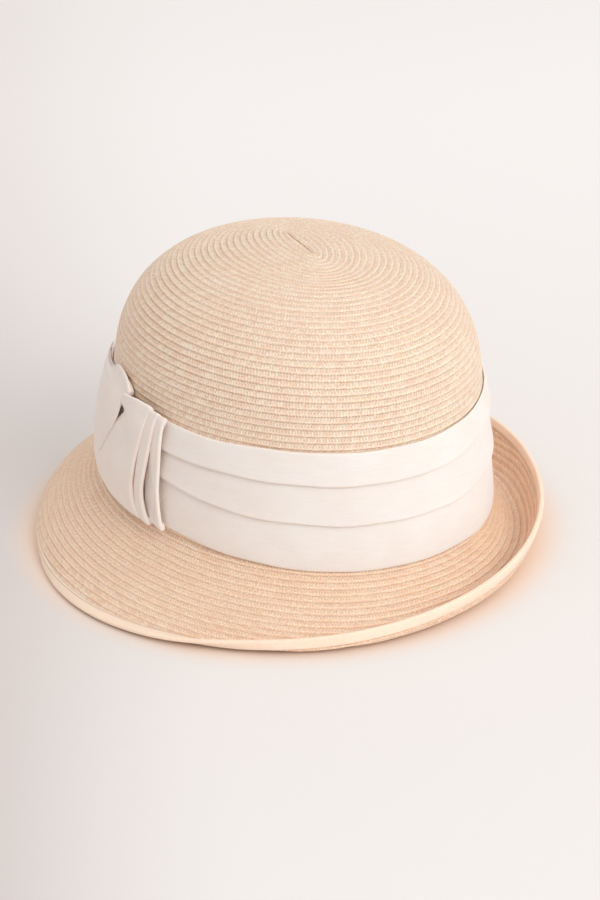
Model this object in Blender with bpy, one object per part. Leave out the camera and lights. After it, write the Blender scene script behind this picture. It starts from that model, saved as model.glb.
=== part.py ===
"""Straw cloche hat with a pleated cloth band and a flat bow at the wearer's left.

Metres, +Z up. The wearer faces -Y and the wearer's left is +X. The hat rests on its brim, and the origin is
under the middle of its box, on the surface that it rests on. An angle round the head is 0 at the front and
90 degrees at the wearer's left. The crown leans back and to the wearer's right a little, because the brim hangs
lowest at the front and left.
"""
import bmesh
import bpy
import math

# Head and crown sizes, taken on the outside of the straw
HEAD_HALF_LENGTH = 0.0996
HEAD_HALF_BREADTH = 0.0841
CROWN_HEIGHT = 0.1166
BACK_LEAN = math.radians(3.6)
RIGHT_LEAN = math.radians(1.5)
CROWN_SEAM_HEIGHT = 0.0030

# Brim and hem sizes, along the straw
BRIM_WIDTH = 0.0520
BRIM_START_SLOPE = math.radians(62)
HEM_WIDTH = 0.0050

# Walls and clearances
STRAW_WALL = 0.0016
HEM_WALL = 0.0024
CLOTH_WALL = 0.0012
CLEARANCE = 0.0003
HEM_CLEARANCE = 0.0006

# Cloth sizes
BAND_HEIGHT = 0.0540
BAND_THICKNESS = 0.0026
FOLD_TURN = 1.25 * CLOTH_WALL
FOLD_LAP = CLOTH_WALL + CLEARANCE

# Facets
ROUND_STEPS = 60
CROWN_STEPS = 12
BRIM_STEPS = 9
HEM_STEPS = 2
CURVE_SAMPLES = 24
FOLD_STEPS_ROUND = 8
FOLD_STEPS_UP = 6
BAND_BACK_STEPS = 4
HEIGHT_HALVINGS = 30
SHARP_ANGLE = math.radians(50)

# Each row is a level of the crown. Columns: level as a share of CROWN_HEIGHT, half length as a share of
# HEAD_HALF_LENGTH, half breadth as a share of HEAD_HALF_BREADTH. The last row is the rim of the flat tip.
CROWN_LEVELS = (
    (0.000, 1.000, 1.000),
    (0.235, 0.960, 0.994),
    (0.470, 0.907, 0.977),
    (0.645, 0.860, 0.944),
    (0.790, 0.766, 0.836),
    (0.905, 0.590, 0.644),
    (0.975, 0.335, 0.366),
    (1.000, 0.090, 0.098),
)

# Each row is a section of the brim, evenly spaced round the head from the front by way of the wearer's left.
# Columns, as shares of BRIM_WIDTH: how far the slope runs on from the head, the reach and drop of the roll that
# the straw turns round, and the reach and drop of the edge.
BRIM_SECTIONS = (
    (0.26, 0.79, 0.45, 0.54, 0.67),
    (0.26, 0.78, 0.47, 0.60, 0.68),
    (0.26, 0.91, 0.56, 0.83, 0.55),
    (0.23, 0.79, 0.57, 0.62, 0.31),
    (0.25, 0.50, 0.53, 0.47, 0.11),
    (0.25, 0.35, 0.61, 0.48, 0.00),
    (0.27, 0.50, 0.73, 0.65, 0.09),
    (0.27, 0.73, 0.60, 0.68, 0.55),
)

# Each row is a point on the outside of the band, from its lower edge up to its upper edge, over three pleats
# whose lower folds stand proud. Columns: height as a share of BAND_HEIGHT, thickness as a share of
# BAND_THICKNESS.
BAND_PROFILE = (
    (0.000, 0.60),
    (0.012, 0.92),
    (0.050, 1.00),
    (0.300, 0.86),
    (0.390, 0.58),
    (0.398, 0.95),
    (0.430, 1.00),
    (0.600, 0.80),
    (0.725, 0.56),
    (0.733, 0.92),
    (0.765, 0.98),
    (0.880, 0.82),
    (0.985, 0.62),
    (1.000, 0.42),
)

# Each row is one fold of the bow, from the lowest one up, each lapping over the one before like a shingle.
# Columns: name, angles in degrees of its near edge at the lower and upper end and of its far edge at the lower
# and upper end, heights as shares of BAND_HEIGHT of its lower end and of its upper end at the near and the far
# edge, and how far it stands off from lying on the band, in laps of FOLD_LAP: at its near edge, halfway across at
# the lower end, at mid height and at the upper end, and at its far edge.
BOW_FOLDS = (
    ("bow_fold_inner", 93.8, 92.8, 88.0, 89.0, 0.040, 1.090, 1.095, 0.80, 0.45, 0.45, 0.45, 0.00),
    ("bow_fold_outer", 89.3, 90.3, 82.5, 84.5, 0.040, 1.105, 1.105, 1.60, 0.80, 0.80, 0.80, 0.05),
    ("bow_panel", 83.5, 86.5, 54.5, 72.0, 0.040, 1.105, 1.065, 1.80, 1.40, 1.60, 1.50, 0.00),
    ("bow_far_fold", 58.0, 75.0, 28.0, 34.0, 0.060, 1.170, 1.000, 2.10, 0.50, 1.50, -1.20, 0.00),
)


def clear_scene():
    for item in list(bpy.data.objects):
        bpy.data.objects.remove(item, do_unlink=True)


def make_material(name, colour, roughness):
    material = bpy.data.materials.new(name)
    material.use_nodes = True
    shader = material.node_tree.nodes["Principled BSDF"]
    shader.inputs["Base Color"].default_value = (*colour, 1.0)
    shader.inputs["Roughness"].default_value = roughness
    shader.inputs["Metallic"].default_value = 0.0
    return material


def mix(start, end, share):
    return start + (end - start) * share


def smooth_between(before, start, end, after, share):
    """A value on the smooth curve from start to end that also heeds the values before and after them."""
    rise = (end - before) / 2
    fall = (after - start) / 2
    square = share * share
    cube = square * share
    return (
        start * (2 * cube - 3 * square + 1)
        + rise * (cube - 2 * square + share)
        + end * (3 * square - 2 * cube)
        + fall * (cube - square)
    )


def crown_value(column, place):
    """One column of CROWN_LEVELS at a place from 0, the head line, to 1, the rim of the tip."""
    last = len(CROWN_LEVELS) - 1
    index = min(int(place * last), last - 1)
    rows = [CROWN_LEVELS[max(0, min(last, index + step))][column] for step in (-1, 0, 1, 2)]
    if index == 0:
        rows[0] = 2 * rows[1] - rows[2]
    if index == last - 1:
        rows[3] = rows[1] if column == 0 else 2 * rows[2] - rows[1]
    return smooth_between(*rows, place * last - index)


def crown_size_at(height):
    """The crown's outer half length and half breadth at a height over the head line."""
    low = 0.0
    high = 1.0
    for _ in range(HEIGHT_HALVINGS):
        middle = (low + high) / 2
        if crown_value(0, middle) * CROWN_HEIGHT < height:
            low = middle
        else:
            high = middle
    return crown_value(1, low) * HEAD_HALF_LENGTH, crown_value(2, low) * HEAD_HALF_BREADTH


def round_head(angle, half_length, half_breadth):
    """A point on a level oval round the head, and the direction straight out from the oval there."""
    point = (half_breadth * math.sin(angle), -half_length * math.cos(angle))
    out = (math.sin(angle) / half_breadth, -math.cos(angle) / half_length)
    length = math.hypot(*out)
    return point, (out[0] / length, out[1] / length)


def crown_point(angle, height, stand_off):
    """A point at a height over the head line, this far out from the crown's outer face."""
    point, out = round_head(angle, *crown_size_at(max(height, 0.0)))
    return (point[0] + out[0] * stand_off, point[1] + out[1] * stand_off, height)


def brim_value(column, angle):
    """One column of BRIM_SECTIONS at any angle, in metres, smooth all the way round."""
    count = len(BRIM_SECTIONS)
    place = (angle / (2 * math.pi)) % 1.0 * count
    index = int(place)
    rows = [BRIM_SECTIONS[(index + step) % count][column] for step in (-1, 0, 1, 2)]
    return smooth_between(*rows, place - index) * BRIM_WIDTH


def brim_section(angle):
    """Points of the brim's upper face from the head line to the edge, as reach and height, with the distance."""
    run, roll_reach, roll_drop, edge_reach, edge_drop = (brim_value(column, angle) for column in range(5))
    guides = (
        (0.0, 0.0),
        (run * math.cos(BRIM_START_SLOPE), -run * math.sin(BRIM_START_SLOPE)),
        (roll_reach, -roll_drop),
        (edge_reach, -edge_drop),
    )
    points = []
    for sample in range(CURVE_SAMPLES + 1):
        share = sample / CURVE_SAMPLES
        weights = (
            (1 - share) ** 3,
            3 * share * (1 - share) ** 2,
            3 * share**2 * (1 - share),
            share**3,
        )
        reach = sum(weight * guide[0] for weight, guide in zip(weights, guides))
        rise = sum(weight * guide[1] for weight, guide in zip(weights, guides))
        points.append((reach, rise))
    distances = [0.0]
    for before, after in zip(points, points[1:]):
        distances.append(distances[-1] + math.dist(before, after))
    return points, distances


def section_run(points, index):
    """The direction along a brim section at one of its points."""
    before = points[max(index - 1, 0)]
    after = points[min(index + 1, CURVE_SAMPLES)]
    length = math.dist(before, after)
    return (after[0] - before[0]) / length, (after[1] - before[1]) / length


def along_section(section, distance):
    """The reach and height of a point at a distance along a brim section, and the section's way up there."""
    points, distances = section
    distance = max(0.0, min(distance, distances[-1]))
    index = 0
    while index < CURVE_SAMPLES - 1 and distances[index + 1] < distance:
        index += 1
    part = (distance - distances[index]) / (distances[index + 1] - distances[index])
    place = [mix(points[index][axis], points[index + 1][axis], part) for axis in (0, 1)]
    start_run = section_run(points, index)
    end_run = section_run(points, index + 1)
    run = [mix(start_run[axis], end_run[axis], part) for axis in (0, 1)]
    length = math.hypot(*run)
    return place, (-run[1] / length, run[0] / length)


def brim_point(angle, section, distance, raise_by):
    """A point at a distance along a brim section, raised this far off its upper face."""
    place, up = along_section(section, distance)
    reach = place[0] + up[0] * raise_by
    rise = place[1] + up[1] * raise_by
    point, out = round_head(angle, HEAD_HALF_LENGTH, HEAD_HALF_BREADTH)
    return (point[0] + out[0] * reach, point[1] + out[1] * reach, rise)


def ring_angles():
    return [2 * math.pi * step / ROUND_STEPS for step in range(ROUND_STEPS)]


def make_object(name, mesh, material, hat):
    mesh.materials.append(material)
    mesh.shade_smooth()
    mesh.set_sharp_from_angle(angle=SHARP_ANGLE)
    piece = bpy.data.objects.new(name, mesh)
    bpy.context.scene.collection.objects.link(piece)
    piece.parent = hat
    return piece


def mesh_from_rows(name, rows, closed_round, closed_across=False):
    """A mesh through rows of points. closed_round joins each row's end to its start, closed_across the rows."""
    shape = bmesh.new()
    grid = [[shape.verts.new(point) for point in row] for row in rows]
    row_pairs = list(zip(grid, grid[1:]))
    if closed_across:
        row_pairs.append((grid[-1], grid[0]))
    for lower, upper in row_pairs:
        count = len(lower)
        for index in range(count if closed_round else count - 1):
            after = (index + 1) % count
            shape.faces.new((lower[index], lower[after], upper[after], upper[index]))
    mesh = bpy.data.meshes.new(name)
    shape.to_mesh(mesh)
    shape.free()
    return mesh


def thicken(piece, wall):
    """Gives a sheet its wall, behind the face that it was modelled on."""
    solid = piece.modifiers.new("wall", "SOLIDIFY")
    solid.thickness = wall
    solid.offset = -1.0
    solid.use_even_offset = True
    solid.use_rim = True


def make_crown(hat, material):
    """The hollow crown: levels from the seam up to a small flat tip."""
    rows = []
    for step in range(CROWN_STEPS + 1):
        height = mix(CROWN_SEAM_HEIGHT, CROWN_HEIGHT, math.sin(math.pi / 2 * step / CROWN_STEPS))
        half_length, half_breadth = crown_size_at(height)
        rows.append([(*round_head(angle, half_length, half_breadth)[0], height) for angle in ring_angles()])
    mesh = mesh_from_rows("crown", rows, closed_round=True)
    shape = bmesh.new()
    shape.from_mesh(mesh)
    shape.verts.ensure_lookup_table()
    shape.faces.new(shape.verts[-ROUND_STEPS:])
    shape.to_mesh(mesh)
    shape.free()
    thicken(make_object("crown", mesh, material, hat), STRAW_WALL)


def brim_strip(steps, start_trim, end_trim, upper, lower):
    """Rows of points right round a strip of the brim, over its upper face and back under its lower face.

    start_trim is where the strip starts, end_trim is how far it stops short of the edge, and upper and lower
    are how far its faces lie from the brim's upper face. A start_trim below 0 is counted from the edge.
    """
    sections = [brim_section(angle) for angle in ring_angles()]
    rows = []
    for raise_by in (upper, lower):
        face = []
        for step in range(steps + 1):
            row = []
            for angle, section in zip(ring_angles(), sections):
                length = section[1][-1]
                start = start_trim if start_trim >= 0 else length + start_trim
                distance = mix(start, length - end_trim, step / steps)
                row.append(brim_point(angle, section, distance, raise_by))
            face.append(row)
        rows.append(face)
    return rows


def make_brim(hat, material):
    """The brim: a short neck up to the crown's seam, then the sections out to the hem."""
    neck_top = CROWN_SEAM_HEIGHT - CLEARANCE
    upper, lower = brim_strip(BRIM_STEPS, 0.0, HEM_WIDTH + HEM_CLEARANCE, 0.0, -STRAW_WALL)
    upper.insert(0, [crown_point(angle, neck_top, 0.0) for angle in ring_angles()])
    lower.insert(0, [crown_point(angle, neck_top, -STRAW_WALL) for angle in ring_angles()])
    mesh = mesh_from_rows("brim", lower + upper[::-1], closed_round=True, closed_across=True)
    make_object("brim", mesh, material, hat)


def make_hem(hat, material):
    """The thicker strip round the brim's edge, proud of the brim's straw on both faces."""
    proud = (HEM_WALL - STRAW_WALL) / 2
    upper, lower = brim_strip(HEM_STEPS, -HEM_WIDTH, 0.0, proud, -STRAW_WALL - proud)
    mesh = mesh_from_rows("brim_hem", lower + upper[::-1], closed_round=True, closed_across=True)
    make_object("brim_hem", mesh, material, hat)


def make_band(hat, material):
    """The pleated band: a flat back along the crown, and a face over three pleats."""
    rows = []
    for height_share, thickness_share in BAND_PROFILE:
        height = CLEARANCE + height_share * BAND_HEIGHT
        stand_off = CLEARANCE + thickness_share * BAND_THICKNESS
        rows.append([crown_point(angle, height, stand_off) for angle in ring_angles()])
    for step in range(BAND_BACK_STEPS, -1, -1):
        height = CLEARANCE + step / BAND_BACK_STEPS * BAND_HEIGHT
        rows.append([crown_point(angle, height, CLEARANCE) for angle in ring_angles()])
    mesh = mesh_from_rows("band", rows, closed_round=True, closed_across=True)
    make_object("band", mesh, material, hat)


def bow_fold_point(fold, across, up, sink=0.0):
    """A point on a fold's outer face, across from its near edge to its far edge and up from its lower end.

    sink takes the point in towards the crown, where the cloth turns under.
    """
    near_low, near_high, far_low, far_high, low_end, near_end, far_end, near_lift, *middle_lifts, far_lift = fold
    angle = math.radians(mix(mix(near_low, near_high, up), mix(far_low, far_high, up), across))
    height = CLEARANCE + mix(low_end, mix(near_end, far_end, across), up) * BAND_HEIGHT
    weights = (2 * (up - 0.5) * (up - 1), 4 * up * (1 - up), 2 * up * (up - 0.5))
    middle_lift = sum(weight * lift for weight, lift in zip(weights, middle_lifts))
    bulge = middle_lift - (near_lift + far_lift) / 2
    lift = mix(near_lift, far_lift, across) + bulge * math.sin(math.pi * across)
    under = 2 * CLEARANCE + BAND_THICKNESS + CLOTH_WALL
    return crown_point(angle, height, under + lift * FOLD_LAP - sink)


def make_bow(hat, material):
    """The flat bow: upright folds that lap over each other, each with its near edge turned under."""
    for name, *fold in BOW_FOLDS:
        rows = []
        for step_up in range(FOLD_STEPS_UP + 1):
            up = step_up / FOLD_STEPS_UP
            shares = [1 - step / FOLD_STEPS_ROUND for step in range(FOLD_STEPS_ROUND + 1)]
            row = [bow_fold_point(fold, across, up) for across in shares]
            row.append(bow_fold_point(fold, 0.0, up, FOLD_TURN))
            rows.append(row)
        mesh = mesh_from_rows(name, rows, closed_round=False)
        thicken(make_object(name, mesh, material, hat), CLOTH_WALL)


def stand_on_surface(hat):
    """Moves the hat so that its lowest point is at height 0 and the middle of its box is over the origin."""
    graph = bpy.context.evaluated_depsgraph_get()
    low = [math.inf] * 3
    high = [-math.inf] * 3
    for piece in hat.children:
        shaped = piece.evaluated_get(graph)
        for vertex in shaped.data.vertices:
            place = shaped.matrix_world @ vertex.co
            for axis in range(3):
                low[axis] = min(low[axis], place[axis])
                high[axis] = max(high[axis], place[axis])
    hat.location = (-(low[0] + high[0]) / 2, -(low[1] + high[1]) / 2, -low[2])


def make_hat():
    clear_scene()
    straw = make_material("straw", (0.84, 0.66, 0.50), 0.75)
    hem_straw = make_material("hem_straw", (0.86, 0.69, 0.53), 0.70)
    cloth = make_material("cloth", (0.86, 0.80, 0.74), 0.90)
    hat = bpy.data.objects.new("hat", None)
    bpy.context.scene.collection.objects.link(hat)
    hat.rotation_euler = (-BACK_LEAN, -RIGHT_LEAN, 0.0)
    make_crown(hat, straw)
    make_brim(hat, straw)
    make_hem(hat, hem_straw)
    make_band(hat, cloth)
    make_bow(hat, cloth)
    stand_on_surface(hat)


make_hat()
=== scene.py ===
"""The looks of the straw cloche hat: sewn straw braid, a pleated cloth band and a flat bow.

Metres, +Z up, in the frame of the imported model. The wearer faces -Y and the bow is at +X. An angle round
the head is 0 at the front and 90 degrees at the bow. The hat's own axes have the head line level at height
0, and hat_place() gives where they lie in the frame.
"""
import math

import bmesh
import bpy
import numpy as np
from mathutils import Euler, Matrix, Vector


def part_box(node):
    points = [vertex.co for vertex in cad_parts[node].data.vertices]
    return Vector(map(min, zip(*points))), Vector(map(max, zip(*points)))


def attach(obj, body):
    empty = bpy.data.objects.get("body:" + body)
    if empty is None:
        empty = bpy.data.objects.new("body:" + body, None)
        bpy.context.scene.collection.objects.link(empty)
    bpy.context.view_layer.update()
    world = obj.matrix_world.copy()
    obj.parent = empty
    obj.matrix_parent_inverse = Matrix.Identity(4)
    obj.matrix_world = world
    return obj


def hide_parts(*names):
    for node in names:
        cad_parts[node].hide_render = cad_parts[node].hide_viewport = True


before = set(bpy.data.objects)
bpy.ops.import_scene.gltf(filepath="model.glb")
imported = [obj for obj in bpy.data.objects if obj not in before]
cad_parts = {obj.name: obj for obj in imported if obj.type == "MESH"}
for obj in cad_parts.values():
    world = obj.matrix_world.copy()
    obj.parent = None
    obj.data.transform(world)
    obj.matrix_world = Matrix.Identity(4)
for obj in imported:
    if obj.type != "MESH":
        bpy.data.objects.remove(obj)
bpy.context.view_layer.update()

MM = 0.001

# Sizes of the hat, as its solids have them
HEAD_HALF_LENGTH = 0.0996
HEAD_HALF_BREADTH = 0.0841
CROWN_HEIGHT = 0.1166
BACK_LEAN = math.radians(3.6)
RIGHT_LEAN = math.radians(1.5)
CROWN_SEAM_HEIGHT = 0.0030
BRIM_WIDTH = 0.0520
BRIM_START_SLOPE = math.radians(62)
HEM_WIDTH = 0.0050
STRAW_WALL = 0.0016
HEM_WALL = 0.0024
BAND_HEIGHT = 0.0540
CLEARANCE = 0.0003

# Levels of the crown. Columns: level, half length and half breadth, as shares of CROWN_HEIGHT,
# HEAD_HALF_LENGTH and HEAD_HALF_BREADTH.
CROWN_LEVELS = (
    (0.000, 1.000, 1.000),
    (0.235, 0.960, 0.994),
    (0.470, 0.907, 0.977),
    (0.645, 0.860, 0.944),
    (0.790, 0.766, 0.836),
    (0.905, 0.590, 0.644),
    (0.975, 0.335, 0.366),
    (1.000, 0.090, 0.098),
)

# Sections of the brim, evenly spaced round the head from the front by way of the bow. Columns, as shares of
# BRIM_WIDTH: run of the first slope, reach and drop of the roll, reach and drop of the edge.
BRIM_SECTIONS = (
    (0.26, 0.79, 0.45, 0.54, 0.67),
    (0.26, 0.78, 0.47, 0.60, 0.68),
    (0.26, 0.91, 0.56, 0.83, 0.55),
    (0.23, 0.79, 0.57, 0.62, 0.31),
    (0.25, 0.50, 0.53, 0.47, 0.11),
    (0.25, 0.35, 0.61, 0.48, 0.00),
    (0.27, 0.50, 0.73, 0.65, 0.09),
    (0.27, 0.73, 0.60, 0.68, 0.55),
)

# Straw braid
BRAID_PITCH = 0.00305
PLAIT_PITCH = 0.00135
CROWN_COLUMNS = 350
BRIM_COLUMNS = 420

# The face of one row of braid, from the edge that is sewn under the row before it to its free edge. Columns:
# place across the row as a share of BRAID_PITCH, and height over the straw's mean face in millimetres.
OUTER_ROW = ((0.00, -0.42), (0.30, -0.14), (0.78, 0.10), (0.96, 0.05))
BRIM_ROW = ((0.00, -0.42), (0.16, -0.26), (0.40, -0.06), (0.66, 0.10), (0.88, 0.12), (0.97, 0.02))
INNER_ROW = ((0.05, 0.20), (0.90, -0.12))
BRIM_BACK_ROW = ((0.05, -0.12), (0.50, -0.02), (0.92, 0.10))

# Heights in millimetres of the groove between the halves of the straight first row, and of the rows that the
# band hides
SEED_GROOVE = -0.60
HIDDEN_HEIGHT = -0.25

# The straight first row at the tip: half its length, and its angle to the line from front to back. The rows
# are ovals round it up to OVAL_END, and turn into even rows over the next OVAL_FADE.
SEED_HALF_LENGTH = 0.0125
SEED_TURN = math.radians(-17)
OVAL_END = 0.012
OVAL_FADE = 0.030

# Where the brim is rolled up its rows run along its lip, not along the head line. Columns: angle in degrees,
# and how far they do so.
ROLLED_ROWS = ((140, 0), (165, 1), (300, 1), (330, 0))
ROLLED_LENGTH = 0.0444
ROLLED_LIMITS = (0.0400, 0.0484)

# The strip round the edge. HEM_EVENNESS is in steps of its columns.
HEM_COLUMNS = 480
HEM_SIDES = 20
HEM_EVENNESS = 8
HEM_GAP = 0.0002
RIB_PITCH = 0.0011

# Looks of the straw. A place across a row is a share of its pitch, and the hem's stitches lie at a share of
# the way round its section. The gap shares give the colour of painted shade from the dark straw's colour, and
# the
# gap strength how strongly it shows: shade in the gaps between straws, under each row's lip, in the first
# row's groove and in the holes of the stitches. A glow is its weight, its shares of red, green and blue, and
# its reach.
STITCH_PLACE = 0.90
HEM_STITCH_PLACE = 0.315
ROW_SHIFT = 0.377
STRAW_SLANT = 1.15
STRAW_WANDER = 0.55
STRAW_DEPTH = 0.00036
RIB_DEPTH = 0.00022
GAP_SHADE_SHARES = (0.58, 0.45, 0.34)
GAP_SHADE_STRENGTH = 0.55
STRAW_GLOW = (0.30, (1.0, 0.45, 0.20), 0.0030)

# Looks of the cloth
THREAD_PITCH = 0.00048
THREAD_DEPTH = 0.00016
CLOTH_GLOW = (0.30, (1.0, 0.55, 0.32), 0.0022)

# Cloth. TURNED_COLUMNS are the columns of a fold behind its near edge, and TUCK_REACH is in millimetres. The
# floors are the least stand-offs of the band's cloth over the crown, and of a fold over the band.
SASH_CLOTH = 0.00035
BOW_CLOTH = 0.00045
SASH_COLUMNS = 320
FOLD_ROWS = 40
FOLD_COLUMNS = 26
WRAP_COLUMNS = 34
WRAP_STEP = 1.25
TURNED_COLUMNS = 13
TUCK_REACH = 8.0
TUCK_SLOPE = 1.1
SASH_FLOOR = 0.0004
FOLD_FLOOR = 0.0031

# The least stand-off of the wrap over the band, and over the crown above the band. Columns: height and
# stand-off in millimetres.
WRAP_FLOOR = ((52.5, 3.1), (56.5, 0.8))

# Cloth turned under at the panel's near edge and at the far side's edge along the slit: radius and depth in
# millimetres. SLIT_FADE is the height over the slit's end in which the second comes in.
PANEL_TURN = (0.85, 5.0)
FAR_TURN = (0.7, 6.0)
SLIT_FADE = 10.0

# Soft waves in the cloth. Columns: longest and shortest length in metres, number of waves, how far in radians
# they may lie off the cloth's length, and greatest height in millimetres.
SASH_WAVES = (0.060, 0.018, 7, 0.9, 0.30)
SASH_CREASES = (0.014, 0.006, 6, 1.3, 0.07)
FOLD_WAVES = (0.030, 0.012, 5, 3.0, 0.20)
WRAP_WAVES = (0.036, 0.014, 6, 3.0, 0.30)

# The band's cloth in section: over its top edge, down a pleat's face, round its lip, down the last face and
# round the foot. Columns: millimetres over the edge, lip or foot, or share of the way down a face; stand-off.
TOP_PATH = ((-6.0, 0.45), (-1.2, 0.45), (-0.15, 0.55), (0.0, 0.85), (-0.6, 1.20))
FACE_PATH = ((0.30, 1.65), (0.72, 2.25))
LIP_PATH = (
    (1.2, 2.70),
    (0.2, 2.70),
    (-0.1, 2.45),
    (0.2, 2.15),
    (1.2, 1.90),
    (3.0, 1.65),
    (6.0, 1.45),
    (6.7, 1.18),
    (6.0, 0.92),
    (3.0, 0.95),
    (-0.8, 1.05),
)
LAST_FACE_PATH = ((0.30, 1.65), (0.72, 2.15))
FOOT_PATH = ((1.2, 1.95), (0.1, 1.55), (0.1, 1.15), (1.5, 0.80), (6.0, 0.60))

# Edges of the band's pleats round the head. Columns: angle in degrees, then millimetres over the head line of
# the lower edge, of the second and the first pleat's lip, and of the upper edge.
BAND_EDGES = (
    (0, 0.3, 22.0, 40.5, 54.3),
    (40, 0.6, 23.0, 41.0, 54.6),
    (70, 1.8, 27.0, 41.5, 54.8),
    (91, 2.8, 28.4, 41.6, 55.0),
    (100, 2.2, 25.2, 40.5, 53.6),
    (114, 0.0, 22.8, 41.2, 54.8),
    (133, -0.6, 22.2, 40.7, 54.6),
    (160, -0.8, 22.0, 40.3, 54.2),
    (180, 0.4, 22.0, 40.7, 54.3),
    (196, -1.0, 23.4, 43.2, 54.5),
    (212, -2.0, 25.5, 45.5, 56.8),
    (245, -1.0, 24.5, 43.5, 55.8),
    (290, 0.0, 22.8, 41.0, 54.6),
)

# The bow's two narrow folds. Columns: height in millimetres over the head line, angles in degrees of the near
# and the far edge, and stand-offs in millimetres at even steps from the near edge to the far edge.
INNER_FOLD = (
    (2.4, 93.8, 86.5, 5.8, 4.8, 4.0, 3.5),
    (7.0, 93.3, 85.5, 6.2, 4.6, 3.4, 3.3),
    (15.0, 92.7, 85.5, 6.4, 4.2, 3.2, 3.2),
    (24.0, 92.5, 85.5, 6.4, 5.2, 3.6, 3.4),
    (40.0, 92.6, 85.5, 6.2, 5.5, 4.3, 3.6),
    (52.0, 93.0, 86.5, 5.9, 5.2, 4.4, 3.8),
    (56.0, 93.3, 87.6, 5.2, 4.9, 4.4, 3.9),
    (57.6, 93.6, 89.0, 4.6, 4.6, 4.4, 3.9),
)
OUTER_FOLD = (
    (1.6, 88.8, 80.0, 5.8, 5.2, 4.4, 3.8),
    (7.0, 87.3, 79.5, 6.5, 5.6, 4.6, 3.8),
    (15.0, 86.4, 79.0, 6.8, 5.9, 4.7, 3.8),
    (24.0, 86.9, 79.5, 6.8, 5.9, 4.7, 3.9),
    (40.0, 88.6, 80.5, 6.6, 6.0, 4.9, 4.0),
    (52.0, 89.8, 82.5, 6.1, 5.8, 5.2, 4.3),
    (56.0, 90.3, 84.0, 5.6, 5.5, 5.1, 4.4),
    (58.6, 91.2, 85.5, 5.2, 5.2, 5.0, 4.4),
)

# The bow's wrap: a panel at the near side and a far side, with a slit between them from SLIT_END up. Heights
# are in millimetres over the head line, angles in degrees and stand-offs in millimetres.
WRAP_LOW = 1.6
PANEL_HIGH = 60.0
WRAP_HIGH = 63.0
SLIT_END = 17.0

# Columns: height, angle of the slit and stand-off of the far side's edge there.
SLIT = (
    (1.6, 57.0, 4.6),
    (8.0, 58.6, 5.9),
    (17.0, 61.8, 6.8),
    (30.0, 67.0, 7.0),
    (42.0, 71.6, 7.0),
    (50.0, 73.2, 6.4),
    (53.0, 73.4, 5.6),
    (55.0, 74.4, 4.7),
    (57.0, 75.4, 4.2),
    (60.0, 75.6, 3.8),
    (64.0, 75.6, 3.4),
)

# Columns: height, then how far the panel's edge lies from the far side's, in angle and in stand-off.
PANEL_DIP = (
    (17.0, 0.0, 0.0),
    (24.0, -3.5, -2.0),
    (30.0, -4.5, -2.6),
    (40.0, -2.6, -2.6),
    (45.5, 0.0, -2.6),
    (49.0, 1.7, -2.2),
    (51.5, 1.3, -1.5),
    (53.6, -0.2, -0.3),
    (55.0, -1.4, 0.9),
    (56.5, -1.8, 1.3),
    (58.0, -1.6, 1.6),
    (60.0, -0.9, 1.9),
)

# Columns: height, angle of the panel's near edge, and stand-offs there and at one and two thirds across.
PANEL = (
    (1.6, 84.6, 5.4, 5.4, 5.0),
    (8.0, 82.7, 6.4, 6.4, 6.2),
    (17.0, 81.9, 7.0, 7.1, 7.0),
    (30.0, 83.1, 7.1, 7.2, 6.7),
    (42.0, 85.0, 7.0, 7.1, 6.5),
    (50.0, 86.3, 6.7, 6.9, 6.2),
    (55.0, 87.2, 6.0, 6.4, 6.0),
    (60.0, 88.0, 5.2, 5.8, 5.7),
)

# Columns: height, angle of the far side's far edge, and stand-offs at one and two thirds across and there.
FAR_SIDE = (
    (1.6, 28.0, 4.4, 4.0, 3.6),
    (8.0, 28.5, 5.6, 4.9, 3.8),
    (17.0, 29.3, 6.2, 5.3, 4.0),
    (30.0, 30.5, 6.3, 5.4, 4.1),
    (42.0, 31.8, 5.4, 4.6, 3.9),
    (50.0, 32.6, 4.0, 3.6, 3.5),
    (55.0, 33.2, 2.1, 1.6, 1.6),
    (60.0, 33.7, 1.2, 0.9, 0.9),
    (64.0, 34.0, 1.0, 0.8, 0.8),
)

# Top edges of the wrap's two sides. Columns: angle and height. The cloth follows them from TOP_START up.
PANEL_TOP = ((70.0, 57.4), (73.0, 57.4), (75.2, 58.2), (78.2, 59.0), (82.2, 60.2), (85.8, 60.2), (88.0, 60.0))
FAR_TOP = (
    (28.0, 53.0),
    (40.0, 54.6),
    (50.0, 56.0),
    (56.0, 58.2),
    (62.0, 62.8),
    (70.0, 63.6),
    (74.0, 61.6),
    (75.8, 59.0),
)
TOP_START = 40.0

# The camera, 1 m from CAMERA_AIM: azimuth, elevation and roll in degrees, then its level right and the level
# way that it looks, as x and y.
CAMERA_TURNS = (137.651, 25.493, -2.677)
CAMERA_RIGHT = (-0.739, 0.674)
CAMERA_AWAY = (-0.674, -0.739)
CAMERA_AIM = (0.0, 0.0, 0.060)
CAMERA_LENS = 84.52
CAMERA_SHIFT = (0.02213, -0.04777)

# The floor's painted shade, darker to the camera's left and near the hat: its colour at the camera's left and
# right, each near and far, and where each turns into the other: metres away from the hat, and metres to the
# right for each metre from the camera.
FLOOR_SHADED_LEFT = ((0.550, 0.500, 0.488), (0.785, 0.748, 0.735))
FLOOR_LIT_RIGHT = ((0.825, 0.820, 0.815), (0.945, 0.950, 0.955))
FLOOR_DEPTHS = (-0.20, 0.75)
FLOOR_SIDES = (-0.24, -0.02)
CAMERA_DISTANCE = 1.05
LEAST_DISTANCE = 0.35

# Painted warm shade and light that the straw sends onto the floor round the hat: its colour and strength, an
# oval round the hat as half sizes in x and y, and the shares of the oval between which it fades.
WARM_PAINTED_COLOUR = (0.92, 0.69, 0.52)
WARM_PAINTED_STRENGTH = 0.75
WARM_OVAL = (0.124, 0.129)
WARM_SHARES = (0.92, 1.09)

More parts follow.
